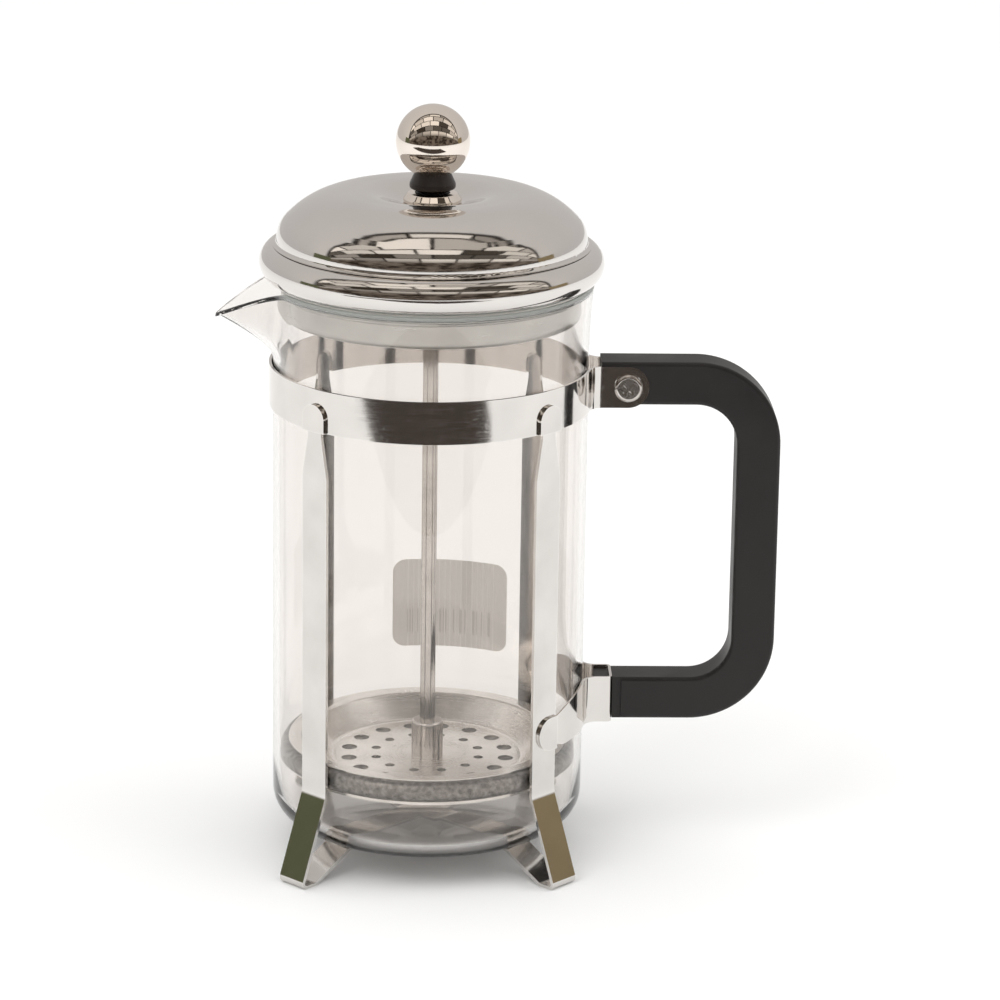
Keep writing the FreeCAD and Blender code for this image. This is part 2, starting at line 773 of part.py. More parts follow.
def lid_skirt():
    """Inner ring: a flange over the dome's lip, a beaded skirt inside the glass, a curled edge."""
    outer = glass_radius - glass_wall - body_gap - skirt_play
    flange_level = lid_seat + sheet + fit_gap
    bottom = rim_level - skirt_depth
    bead = rim_level - skirt_bead_drop
    points = [
        (flange_radius, flange_level),
        (outer, flange_level),
        (outer, bottom),
        (outer - skirt_curl, bottom),
    ]
    body = sheet_revolved(points, [crease_bend, 2 * crease_bend], skirt_sheet)
    bead_circle = outer + skirt_bead_proud - skirt_bead_radius
    bead_ring = Part.makeTorus(bead_circle, skirt_bead_radius, Vec(0, 0, bead))
    bead_ring = bead_ring.cut(cylinder(outer - skirt_sheet / 2, bead - skirt_depth, bead + skirt_depth))
    return body.fuse(bead_ring).removeSplitter()


def lid_ferrule():
    """Turned ferrule on the lid with a stem through it; the plunger's bush runs inside."""
    top = ferrule_top
    seat = ferrule_seat
    base = seat - sheet - stem_length
    bore = bush_radius + running_gap
    counterbore = bush_flange_radius + running_gap
    points = [
        (bore, base), (stem_radius, base), (stem_radius, seat), (ferrule_radius, seat),
        (ferrule_radius, seat + ferrule_foot), (ferrule_top_radius, top), (counterbore, top),
        (counterbore, top - bush_flange - running_gap), (bore, top - bush_flange - running_gap),
    ]
    return revolved(points, [0, 0, 0, 0.5, 0.7, 0.5, 0, 0, 0])


def lid_nut():
    top = ferrule_seat - sheet - lid_washer_height
    nut = hexagon(lid_nut_across, lid_nut_height, Vec(0, 0, top), AXIS_Z * -1)
    return nut.cut(cylinder(stem_radius, 0, top + 1))


def lid_washer():
    """Plain washer between the dome and the nut under it."""
    top = ferrule_seat - sheet
    return ring(stem_radius, lid_washer_radius, top - lid_washer_height, top)


def guide_bush():
    """Plastic bush that lines the ferrule, held by its flange above and a snap lip below."""
    top = ferrule_top
    base = ferrule_seat - sheet - stem_length
    bore = rod_radius + running_gap
    lip = bush_radius + bush_lip
    nose = base - bush_nose
    points = [
        (bore, nose), (bush_radius, nose), (lip, base - body_gap), (bush_radius, base - body_gap),
        (bush_radius, top - bush_flange), (bush_flange_radius, top - bush_flange), (bush_flange_radius, top),
        (bore, top),
    ]
    return revolved(points, [0] * len(points))


# ---- plunger ----------------------------------------------------------------------------
def rod_span():
    """Lower and upper end of the rod."""
    bottom = plate_bottom - mesh_sheet - plate_sheet - washer_height - plunger_nut_height - rod_tail
    top = ball_bottom + ball_radius
    return bottom, top


def plunger_rod():
    bottom, top = rod_span()
    return revolved([(0, bottom), (rod_radius, bottom), (rod_radius, top), (0, top)], [0, rod_chamfer, 0, 0])


def knob_collar():
    """Black waisted collar between the ferrule and the ball."""
    low = collar_bottom
    high = ball_bottom
    points = [
        (rod_radius, low), (collar_foot_radius, low), (collar_radius, low + collar_foot_height),
        (collar_radius, low + collar_belly), (collar_top_radius, high), (rod_radius, high),
    ]
    return revolved(points, [0, 0.4, 0.8, 0.8, 0, 0])


def knob_ball():
    """Ball with a small flat where it meets the collar and a blind hole for the rod."""
    seat_drop = math.sqrt(ball_radius ** 2 - collar_top_radius ** 2)
    centre = ball_bottom + seat_drop
    ball = Part.makeSphere(ball_radius, Vec(0, 0, centre))
    ball = ball.cut(cylinder(ball_radius, ball_bottom - ball_radius, ball_bottom))
    return ball.cut(cylinder(rod_radius, ball_bottom - 1, rod_span()[1] + ball_hole_spare))


def rod_hub():
    """Sleeve that stands on the perforated plate round the rod's lower end."""
    points = [
        (rod_radius, plate_height), (hub_radius, plate_height),
        (hub_radius, plate_height + hub_height), (rod_radius, plate_height + hub_height),
    ]
    return revolved(points, [0, 0, hub_round, 0])


def filter_plate():
    """Perforated dished plate with a rounded rim."""
    rim = plate_height + plate_rim_rise
    points = [
        (rod_radius, plate_height), (plate_flat_radius, plate_height),
        (plate_shoulder_radius, rim), (plate_rim_radius, rim),
    ]
    plate = sheet_revolved(points, [plate_bend, plate_rim_bend], plate_sheet)
    holes = []
    for count, radius, circle in (
        (outer_holes, outer_hole_radius, outer_hole_circle),
        (inner_holes, inner_hole_radius, inner_hole_circle),
    ):
        for index in range(count):
            angle = 2 * math.pi * (index + 0.5) / count
            place = (circle * math.cos(angle), circle * math.sin(angle))
            holes.append(cylinder(radius, plate_bottom - 1, plate_height + 1, place))
    return plate.cut(Part.makeCompound(holes))


def mesh_levels():
    """Lower and upper level of the rolled mesh edge."""
    high = plate_height + plate_rim_rise - plate_sheet
    return high - mesh_height, high


def mesh_screen():
    """Fine screen under the plate, rolled round the edge spring."""
    low, high = mesh_levels()
    inner = filter_radius - mesh_band
    wall = mesh_sheet
    rounds = [mesh_round, mesh_round, mesh_top_round, mesh_round]
    skin = revolved([(inner, low), (filter_radius, low), (filter_radius, high), (inner, high)], rounds)
    room = revolved(
        [(inner + wall, low + wall), (filter_radius - wall, low + wall),
         (filter_radius - wall, high - wall), (inner + wall, high - wall)],
        [radius - wall for radius in rounds],
    )
    web = sheet_revolved(
        [(rod_radius, plate_bottom), (plate_flat_radius + 1, plate_bottom),
         (inner + 3 * wall, low + 3 * wall)],
        [plate_bend], wall,
    )
    return skin.cut(room).fuse(web.cut(room)).removeSplitter()


def edge_spring():
    """Coil spring, closed into a ring, that presses the rolled screen against the glass."""
    low, high = mesh_levels()
    centre = Vec(0, 0, (low + high) / 2)
    ring_radius = filter_radius - mesh_band / 2
    coil = Part.makeTorus(ring_radius, spring_radius, centre)
    return coil.cut(Part.makeTorus(ring_radius, spring_radius - spring_wire, centre))


def cross_plate():
    """Lower plate: a hub, four arms and a rim that clamp the screen from below."""
    top = plate_bottom - mesh_sheet
    rim_top = mesh_levels()[0] - fit_gap
    hub = ring(rod_radius, cross_hub_radius, top - plate_sheet, top)
    rim_inner = cross_rim_radius - cross_rim_width
    dish = sheet_revolved(
        [(cross_hub_radius - 2, top), (plate_flat_radius + 1, top),
         (rim_inner, rim_top), (cross_rim_radius, rim_top), (cross_rim_radius, rim_top - cross_rim_turn)],
        [cross_bend_radius, cross_bend_radius, cross_rim_round], plate_sheet,
    )
    arms = ring(rim_inner, cross_rim_radius + 1, rim_top - 2 * cross_rim_turn, rim_top + 1)
    half = cross_arm_width / 2
    for way in (leg_azimuth, 180 - leg_azimuth):
        arms = arms.fuse(turned(block(-beyond, beyond, -half, half, 0, beyond), way))
    return hub.fuse(dish.common(arms)).removeSplitter()


def lock_washer():
    top = plate_bottom - mesh_sheet - plate_sheet
    return ring(rod_radius, washer_radius, top - washer_height, top)


def plunger_nut():
    top = plate_bottom - mesh_sheet - plate_sheet - washer_height
    nut = hexagon(plunger_nut_across, plunger_nut_height, Vec(0, 0, top), AXIS_Z * -1)
    return nut.cut(cylinder(rod_radius, 0, top + 1))


# ---- build ------------------------------------------------------------------------------
upper_strip = turned(leg_strip(False, 0, -1), leg_azimuth)
lower_strip = turned(leg_strip(True, 180, 1), 180 - leg_azimuth)

export({
    "glass_beaker": glass_beaker(),
    "paper_label": paper_label(),
    "leg_strip_upper": upper_strip,
    "leg_strip_lower": lower_strip,
    "clamp_band": clamp_band(),
    "handle_bracket": handle_bracket(),
    "handle_grip": handle_grip(),
    "handle_screw": handle_screw(),
    "handle_nut": handle_nut(),
    "lid_dome": lid_dome(),
    "lid_skirt": lid_skirt(),
    "lid_ferrule": lid_ferrule(),
    "lid_washer": lid_washer(),
    "lid_nut": lid_nut(),
    "guide_bush": guide_bush(),
    "plunger_rod": plunger_rod(),
    "knob_ball": knob_ball(),
    "knob_collar": knob_collar(),
    "rod_hub": rod_hub(),
    "filter_plate": filter_plate(),
    "mesh_screen": mesh_screen(),
    "edge_spring": edge_spring(),
    "cross_plate": cross_plate(),
    "lock_washer": lock_washer(),
    "plunger_nut": plunger_nut(),
})
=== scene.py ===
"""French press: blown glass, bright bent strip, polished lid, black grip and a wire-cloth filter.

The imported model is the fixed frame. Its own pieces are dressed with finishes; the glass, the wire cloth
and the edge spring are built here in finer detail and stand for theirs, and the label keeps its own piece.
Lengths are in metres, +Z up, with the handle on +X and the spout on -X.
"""
import logging
import math
from dataclasses import dataclass, field
from enum import Enum
from typing import Iterable, Sequence

import bpy
from mathutils import Matrix, Vector


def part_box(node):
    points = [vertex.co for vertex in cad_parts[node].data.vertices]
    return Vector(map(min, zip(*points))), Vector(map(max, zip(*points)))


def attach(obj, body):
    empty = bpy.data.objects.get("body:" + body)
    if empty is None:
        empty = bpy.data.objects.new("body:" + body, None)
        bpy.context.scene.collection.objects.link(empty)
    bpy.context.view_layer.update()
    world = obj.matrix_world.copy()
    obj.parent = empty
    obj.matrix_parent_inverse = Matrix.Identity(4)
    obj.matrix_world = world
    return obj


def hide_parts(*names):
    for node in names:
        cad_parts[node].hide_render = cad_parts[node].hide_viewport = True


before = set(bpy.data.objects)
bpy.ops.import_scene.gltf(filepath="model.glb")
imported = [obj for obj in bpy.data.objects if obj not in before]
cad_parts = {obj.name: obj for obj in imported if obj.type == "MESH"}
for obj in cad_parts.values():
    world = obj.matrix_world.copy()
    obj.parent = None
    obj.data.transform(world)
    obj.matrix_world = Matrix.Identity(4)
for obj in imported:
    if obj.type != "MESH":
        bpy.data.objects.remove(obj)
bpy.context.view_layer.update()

LOG = logging.getLogger("french_press")
MM = 0.001
PAINTS: dict[str, bpy.types.Material] = {}

Colour = tuple[float, float, float]
Point = tuple[float, float, float]


# ---- node sketching ---------------------------------------------------------------------
class Grain(Enum):
    """Which way a surface was polished, rolled or turned."""

    EVEN = "even"
    UPRIGHT = "upright"
    RINGS = "rings"
    LEVEL = "level"


class NodeSketch:
    """Small helper that lays out the shader nodes of one material."""

    def __init__(self, name: str) -> None:
        """Start an empty material with a Principled shader on its output.

        Args:
            name: Name of the material.
        """
        self.material = bpy.data.materials.new(name)
        self.material.use_nodes = True
        self.tree = self.material.node_tree
        self.tree.nodes.clear()
        self.output = self.tree.nodes.new("ShaderNodeOutputMaterial")
        self.shader = self.tree.nodes.new("ShaderNodeBsdfPrincipled")
        self.link(self.shader.outputs["BSDF"], self.output.inputs["Surface"])
        self.coords = self.tree.nodes.new("ShaderNodeTexCoord").outputs["Object"]

    def link(self, source: bpy.types.NodeSocket, target: bpy.types.NodeSocket) -> None:
        """Join two sockets."""
        self.tree.links.new(source, target)

    def constant(self, **values: object) -> None:
        """Set the shader's own sockets, with underscores for the spaces in their names.

        Args:
            values: Socket names and what they are set to.
        """
        for name, value in values.items():
            self.shader.inputs[name.replace("_", " ")].default_value = value

    def feed(self, name: str, source: bpy.types.NodeSocket) -> None:
        """Link a source to one of the shader's sockets."""
        self.link(source, self.shader.inputs[name])

    def math(self, operation: str, *values: object) -> bpy.types.NodeSocket:
        """Combine sockets or numbers with a Math node.

        Args:
            operation: Name of the operation.
            values: Sockets or plain numbers, in order.

        Returns:
            The node's value.
        """
        node = self.tree.nodes.new("ShaderNodeMath")
        node.operation = operation
        for index, value in enumerate(values):
            if isinstance(value, (int, float)):
                node.inputs[index].default_value = value
            else:
                self.link(value, node.inputs[index])
        return node.outputs[0]

    def split(self) -> tuple[bpy.types.NodeSocket, bpy.types.NodeSocket, bpy.types.NodeSocket]:
        """Give the object's own X, Y and Z.

        Returns:
            The three sockets.
        """
        node = self.tree.nodes.new("ShaderNodeSeparateXYZ")
        self.link(self.coords, node.inputs[0])
        return node.outputs[0], node.outputs[1], node.outputs[2]

    def join(self, x: object, y: object, z: object) -> bpy.types.NodeSocket:
        """Combine three sockets or numbers into a vector.

        Args:
            x: First part.
            y: Second part.
            z: Third part.

        Returns:
            The vector.
        """
        node = self.tree.nodes.new("ShaderNodeCombineXYZ")
        for index, value in enumerate((x, y, z)):
            if isinstance(value, (int, float)):
                node.inputs[index].default_value = value
            else:
                self.link(value, node.inputs[index])
        return node.outputs[0]

    def grained(self, grain: Grain) -> bpy.types.NodeSocket:
        """Coordinates that are drawn out along the grain.

        Args:
            grain: Which way the surface was worked.

        Returns:
            A vector for a texture.
        """
        if grain is Grain.EVEN:
            return self.coords
        x, y, z = self.split()
        if grain is Grain.UPRIGHT:
            return self.join(x, y, self.math("MULTIPLY", z, 0.04))
        if grain is Grain.LEVEL:
            return self.join(self.math("MULTIPLY", x, 0.05), self.math("MULTIPLY", y, 0.05), z)
        radius = self.math("SQRT", self.math("ADD", self.math("POWER", x, 2.0), self.math("POWER", y, 2.0)))
        return self.join(radius, z, 0.0)

    def noise(self, scale: float, detail: float,
              vector: bpy.types.NodeSocket | None = None) -> bpy.types.NodeSocket:
        """Noise with so many features to the metre.

        Args:
            scale: Features to the metre.
            detail: Octaves.
            vector: Coordinates, or the object's own where left out.

        Returns:
            The noise between 0 and 1.
        """
        node = self.tree.nodes.new("ShaderNodeTexNoise")
        node.inputs["Scale"].default_value = scale
        node.inputs["Detail"].default_value = detail
        self.link(vector or self.coords, node.inputs["Vector"])
        return node.outputs["Fac"]

    def spread(self, value: bpy.types.NodeSocket, low: float, high: float,
               start: float = 0.3, end: float = 0.7) -> bpy.types.NodeSocket:
        """Map a value from one range to another, held at the ends.

        Args:
            value: What is mapped.
            low: Result at the start.
            high: Result at the end.
            start: Where the range starts.
            end: Where the range ends.

        Returns:
            The mapped value.
        """
        node = self.tree.nodes.new("ShaderNodeMapRange")
        for name, number in (("From Min", start), ("From Max", end), ("To Min", low), ("To Max", high)):
            node.inputs[name].default_value = number
        self.link(value, node.inputs["Value"])
        return node.outputs["Result"]

    def blend(self, factor: bpy.types.NodeSocket, first: object, second: object) -> bpy.types.NodeSocket:
        """Mix two colours, each a socket or three numbers.

        Args:
            factor: How much of the second.
            first: First colour.
            second: Second colour.

        Returns:
            The mixed colour.
        """
        node = self.tree.nodes.new("ShaderNodeMix")
        node.data_type = "RGBA"
        self.link(factor, node.inputs[0])
        for value, socket in ((first, node.inputs[6]), (second, node.inputs[7])):
            if isinstance(value, tuple):
                socket.default_value = (*value, 1.0)
            else:
                self.link(value, socket)
        return node.outputs[2]

    def edges(self, radius: float) -> bpy.types.NodeSocket:
        """Mask that is 1 on sharp edges and 0 on faces.

        Args:
            radius: How far from an edge the mask reaches.

        Returns:
            The mask.
        """
        bevel = self.tree.nodes.new("ShaderNodeBevel")
        bevel.samples = 4
        bevel.inputs["Radius"].default_value = radius
        geometry = self.tree.nodes.new("ShaderNodeNewGeometry")
        product = self.tree.nodes.new("ShaderNodeVectorMath")
        product.operation = "DOT_PRODUCT"
        self.link(bevel.outputs["Normal"], product.inputs[0])
        self.link(geometry.outputs["Normal"], product.inputs[1])
        return self.spread(product.outputs["Value"], 1.0, 0.0, 0.80, 0.99)

    def bump(self, height: bpy.types.NodeSocket, strength: float, depth: float) -> None:
        """Press a height into the surface.

        Args:
            height: Height between 0 and 1.
            strength: Share of the bump that shows.
            depth: Real depth of a full step.
        """
        node = self.tree.nodes.new("ShaderNodeBump")
        node.inputs["Strength"].default_value = strength
        node.inputs["Distance"].default_value = depth
        self.link(height, node.inputs["Height"])
        self.feed("Normal", node.outputs["Normal"])


# ---- finishes ---------------------------------------------------------------------------
@dataclass(frozen=True)
class Metal:
    """Bare or plated metal with polishing lines, handling haze and lighter edges."""

    name: str
    colour: Colour
    stain: Colour
    smooth: float = 0.06
    rough: float = 0.16
    grain: Grain = Grain.EVEN
    lines: float = 1800.0
    haze: float = 60.0
    cut: float = 0.05
    edge: Colour | None = None

    def material(self) -> bpy.types.Material:
        """Lay out the metal's nodes.

        Returns:
            The material.
        """
        sketch = NodeSketch(self.name)
        sketch.constant(Metallic=1.0)
        lines = sketch.noise(self.lines, 3.0, sketch.grained(self.grain))
        haze = sketch.noise(self.haze, 3.0)
        marks = sketch.spread(sketch.noise(self.haze * 9.0, 5.0), 0.0, 1.0, 0.55, 0.75)
        colour = sketch.blend(sketch.spread(haze, 0.0, 1.0), self.colour, self.stain)
        if self.edge:
            colour = sketch.blend(sketch.edges(0.0004), colour, self.edge)
        sketch.feed("Base Color", colour)
        worn = sketch.math("ADD", sketch.math("MULTIPLY", lines, 0.6), sketch.math("MULTIPLY", haze, 0.4))
        rough = sketch.spread(worn, self.smooth, self.rough)
        sketch.feed("Roughness", sketch.math("ADD", rough, sketch.math("MULTIPLY", marks, 0.04)))
        sketch.bump(lines, self.cut, 0.00005)
        return sketch.material


@dataclass(frozen=True)
class Plastic:
    """Moulded plastic with a fine spark-eroded texture, faint handling wear in tone and gloss, and a painted
    highlight along its edges.
    """

    name: str
    colour: Colour
    # worn is the colour of handling wear, and is also used for the painted highlight on the edges
    worn: Colour
    smooth: float = 0.32
    rough: float = 0.48
    texture: float = 2600.0

    def material(self) -> bpy.types.Material:
        """Lay out the plastic's nodes.

        Returns:
            The material.
        """
        sketch = NodeSketch(self.name)
        sketch.constant(IOR=1.5, Specular_IOR_Level=0.38)
        patches = sketch.noise(45.0, 4.0)
        pits = sketch.noise(self.texture, 2.0)
        # painted highlight: sharp edges are lightened towards the worn colour, standing in for light caught
        # on them
        edge = sketch.edges(0.0009)
        colour = sketch.blend(sketch.spread(patches, 0.0, 0.6), self.colour, self.worn)
        sketch.feed("Base Color", sketch.blend(sketch.math("MULTIPLY", edge, 0.6), colour, self.worn))
        sketch.feed("Roughness", sketch.spread(patches, self.smooth, self.rough))
        sketch.bump(pits, 0.25, 0.00006)
        return sketch.material


@dataclass(frozen=True)
class Glass:
    """Clear blown glass, a touch warm, with faint waviness; its thick rim has a green cast and is lightened
    as painted light.
    """

    name: str
    colour: Colour
    smear: Colour
    lip: Colour
    rim_level: float

    def material(self) -> bpy.types.Material:
        """Lay out the glass's nodes.

        Returns:
            The material.
        """
        sketch = NodeSketch(self.name)
        sketch.constant(IOR=1.47, Specular_IOR_Level=0.5)
        smear = sketch.noise(28.0, 3.0)
        waves = sketch.noise(16.0, 1.0)
        height = sketch.split()[2]
        # the rim is partly real and partly painted light: the green cast is the glass's own, while dropping
        # transmission to 0.45 makes the lip a pale milky band that stands in for the light the rim carries
        lip = sketch.spread(height, 0.0, 1.0, self.rim_level - 0.0016, self.rim_level)
        body = sketch.blend(sketch.spread(smear, 0.0, 1.0), self.colour, self.smear)
        sketch.feed("Base Color", sketch.blend(lip, body, self.lip))
        sketch.feed("Transmission Weight", sketch.spread(lip, 1.0, 0.45, 0.0, 1.0))
        sketch.feed("Roughness", sketch.spread(smear, 0.0, 0.012, 0.5, 0.8))
        sketch.bump(waves, 0.08, 0.0006)
        return sketch.material


@dataclass(frozen=True)
class Paper:
    """Label paper with a painted glow that stands in for the light coming through it, with a generic pattern
    of bars and no words.
    """

    name: str
    colour: Colour
    ink: Colour
    bars_from: float
    bars_to: float
    centre_x: float
    half_width: float

    def material(self) -> bpy.types.Material:
        """Lay out the paper's nodes.

        Returns:
            The material.
        """
        sketch = NodeSketch(self.name)
        # painted light: the paper glows at 0.62 of its printed colour, standing in for light that comes
        # through it
        sketch.constant(IOR=1.45, Emission_Strength=0.62)
        x, _, z = sketch.split()
        fibre = sketch.noise(1400.0, 3.0)
        column = sketch.math("SNAP", x, 0.00042)
        stripe = sketch.noise(2100.0, 0.0, sketch.join(column, 0.0, 0.0))
        bars = sketch.math("GREATER_THAN", stripe, 0.53)
        for value, low, high in (
            (z, self.bars_from, self.bars_to),
            (x, self.centre_x - self.half_width, self.centre_x + self.half_width),
        ):
            bars = sketch.math("MULTIPLY", bars, sketch.math("GREATER_THAN", value, low))
            bars = sketch.math("MULTIPLY", bars, sketch.math("LESS_THAN", value, high))
        sheet = sketch.blend(sketch.spread(fibre, 0.0, 0.25), self.colour, self.ink)
        printed = sketch.blend(sketch.math("MULTIPLY", bars, 0.5), sheet, self.ink)
        # the reflected colour is darkened towards black with the fibre, so that the painted glow makes up the
        # sheet's brightness
        sketch.feed("Base Color", sketch.blend(sketch.spread(fibre, 0.45, 0.55), (0.0, 0.0, 0.0), printed))
        sketch.feed("Emission Color", printed)
        sketch.feed("Roughness", sketch.spread(fibre, 0.45, 0.65))
        sketch.bump(fibre, 0.2, 0.00003)
        return sketch.material


@dataclass(frozen=True)
class Floor:
    """Plain pale studio floor."""

    name: str = "pale_floor"
    colour: Colour = (0.93, 0.93, 0.925)

    def material(self) -> bpy.types.Material:
        """Lay out the floor's nodes.

        Returns:
            The material.
        """
        sketch = NodeSketch(self.name)
        sketch.constant(Roughness=0.9, Specular_IOR_Level=0.0)
        soft = sketch.noise(3.0, 1.0)
        sketch.feed("Base Color", sketch.blend(soft, self.colour, (0.92, 0.92, 0.92)))
        return sketch.material


BRIGHT_STRIP = Metal("bright_strip", (0.70, 0.68, 0.655), (0.62, 0.60, 0.575), 0.05, 0.14,
                     Grain.UPRIGHT, 2600.0, 70.0, 0.06, (0.86, 0.84, 0.82))
BRIGHT_BAND = Metal("bright_band", (0.72, 0.69, 0.66), (0.64, 0.615, 0.59), 0.04, 0.12,
                    Grain.LEVEL, 2600.0, 60.0, 0.05, (0.86, 0.84, 0.82))
POLISHED_DOME = Metal("polished_dome", (0.72, 0.69, 0.665), (0.68, 0.655, 0.63), 0.045, 0.10,
                      Grain.RINGS, 900.0, 40.0, 0.03)
POLISHED_BALL = Metal("polished_ball", (0.83, 0.755, 0.68), (0.78, 0.71, 0.65), 0.03, 0.07,
                      Grain.RINGS, 1200.0, 90.0, 0.02)
DULL_SKIRT = Metal("dull_skirt", (0.62, 0.61, 0.58), (0.54, 0.53, 0.51), 0.24, 0.40,
                   Grain.LEVEL, 1500.0, 50.0, 0.15)
PRESSED_PLATE = Metal("pressed_plate", (0.86, 0.835, 0.80), (0.76, 0.73, 0.70), 0.16, 0.30,
                      Grain.RINGS, 1400.0, 110.0, 0.12, (0.92, 0.90, 0.87))
DRAWN_ROD = Metal("drawn_rod", (0.66, 0.625, 0.59), (0.55, 0.52, 0.49), 0.10, 0.24,
                  Grain.UPRIGHT, 3200.0, 140.0, 0.10)
PLATED_FASTENER = Metal("plated_fastener", (0.66, 0.63, 0.60), (0.50, 0.46, 0.43), 0.08, 0.22,
                        Grain.EVEN, 3000.0, 300.0, 0.10, (0.88, 0.86, 0.83))
WIRE_CLOTH = Metal("wire_cloth", (0.46, 0.43, 0.40), (0.20, 0.185, 0.17), 0.40, 0.58,
                   Grain.EVEN, 2400.0, 620.0, 0.30)
SPRING_WIRE = Metal("spring_wire", (0.55, 0.54, 0.52), (0.45, 0.44, 0.42), 0.15, 0.30,
                    Grain.EVEN, 2600.0, 300.0, 0.08)
# the second colour of each plastic is its handling wear and also its painted edge highlight
BLACK_GRIP = Plastic("black_grip", (0.0085, 0.0072, 0.0068), (0.020, 0.018, 0.017), 0.36, 0.52)
BLACK_COLLAR = Plastic("black_collar", (0.012, 0.008, 0.006), (0.030, 0.022, 0.018), 0.26, 0.40, 1800.0)
BLACK_BUSH = Plastic("black_bush", (0.012, 0.012, 0.012), (0.030, 0.030, 0.030), 0.40, 0.55, 2200.0)


# ---- mesh making ------------------------------------------------------------------------
def add_mesh(name: str, points: Sequence[Point], faces: Iterable[Sequence[int]],
             smooth: bool = True) -> bpy.types.Object:
    """Make an object from points and faces.

    Args:
        name: Name of the object.
        points: Corners, in metres.
        faces: Corner numbers of each face.
        smooth: Whether faces are shaded smooth.

    Returns:
        The new object, in the scene.
    """
    mesh = bpy.data.meshes.new(name)
    mesh.from_pydata([tuple(point) for point in points], [], [tuple(face) for face in faces])
    mesh.validate()
    mesh.update()
    mesh.shade_smooth() if smooth else mesh.shade_flat()
    item = bpy.data.objects.new(name, mesh)
    bpy.context.scene.collection.objects.link(item)
    return item


def rectangle(half_width: float, half_height: float) -> list[Point]:
    """Corners of a flat rectangle about the origin.

    Args:
        half_width: Half its size along X.
        half_height: Half its size along Y.

    Returns:
        The corners, anticlockwise.
    """
    return [(-half_width, -half_height, 0), (half_width, -half_height, 0),
            (half_width, half_height, 0), (-half_width, half_height, 0)]


def ring_faces(rows: int, columns: int, start: int = 0, closed: bool = False) -> list[tuple[int, ...]]:
    """Quads of a grid whose columns close round an axis.

    Args:
        rows: Number of rings.
        columns: Points in each ring.
        start: Number of the first point.
        closed: Whether the last ring joins the first.

    Returns:
        The quads, wound so that they face out when rows run up an outside.
    """
    faces = []
    for row in range(rows if closed else rows - 1):
        low = start + row * columns
        high = start + ((row + 1) % rows) * columns
        for column in range(columns):
            after = (column + 1) % columns
            faces.append((low + column, low + after, high + after, high + column))
    return faces


def arc(centre: tuple[float, float], radius: float, first: float, last: float,
        count: int) -> list[tuple[float, float]]:
    """Points of an arc in the (radius, height) plane.

    Args:
        centre: Centre of the arc.
        radius: Its radius.
        first: Start angle in degrees, from the direction away from the axis.
        last: End angle in degrees.
        count: Number of points.

    Returns:
        The points, from first to last.
    """
    points = []
    for index in range(count):
        turn = math.radians(first + (last - first) * index / (count - 1))
        points.append((centre[0] + radius * math.cos(turn), centre[1] + radius * math.sin(turn)))
    return points


def paint(finish: Metal | Plastic | Glass | Paper) -> bpy.types.Material:
    """Give the material of a finish, laid out the first time it is asked for.

    Args:
        finish: The finish.

    Returns:
        Its material.
    """
    if finish.name not in PAINTS:
        PAINTS[finish.name] = finish.material()
    return PAINTS[finish.name]


def dress(node: str, finish: Metal | Plastic | Glass | Paper) -> None:
    """Give a frame piece its finish, on every slot of its mesh.

    Args:
        node: Name of the piece.
        finish: The finish it gets.
    """
    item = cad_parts[node]
    material = paint(finish)
    if not item.data.materials:
        item.data.materials.append(material)
    for index in range(len(item.data.materials)):
        item.data.materials[index] = material
    LOG.info("%s dressed in %s", node, finish.name)


def stand_for(item: bpy.types.Object, node: str, body: str,
              finish: Metal | Plastic | Glass | Paper) -> None:
    """Dress a built piece and let it stand for the frame's own.

    Args:
        item: The built piece.
        node: The frame piece that it replaces.
        body: The body that it moves with.
        finish: The finish it gets.
    """
    item.data.materials.append(paint(finish))
    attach(item, body)
    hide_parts(node)
    LOG.info("%s stands for %s", item.name, node)


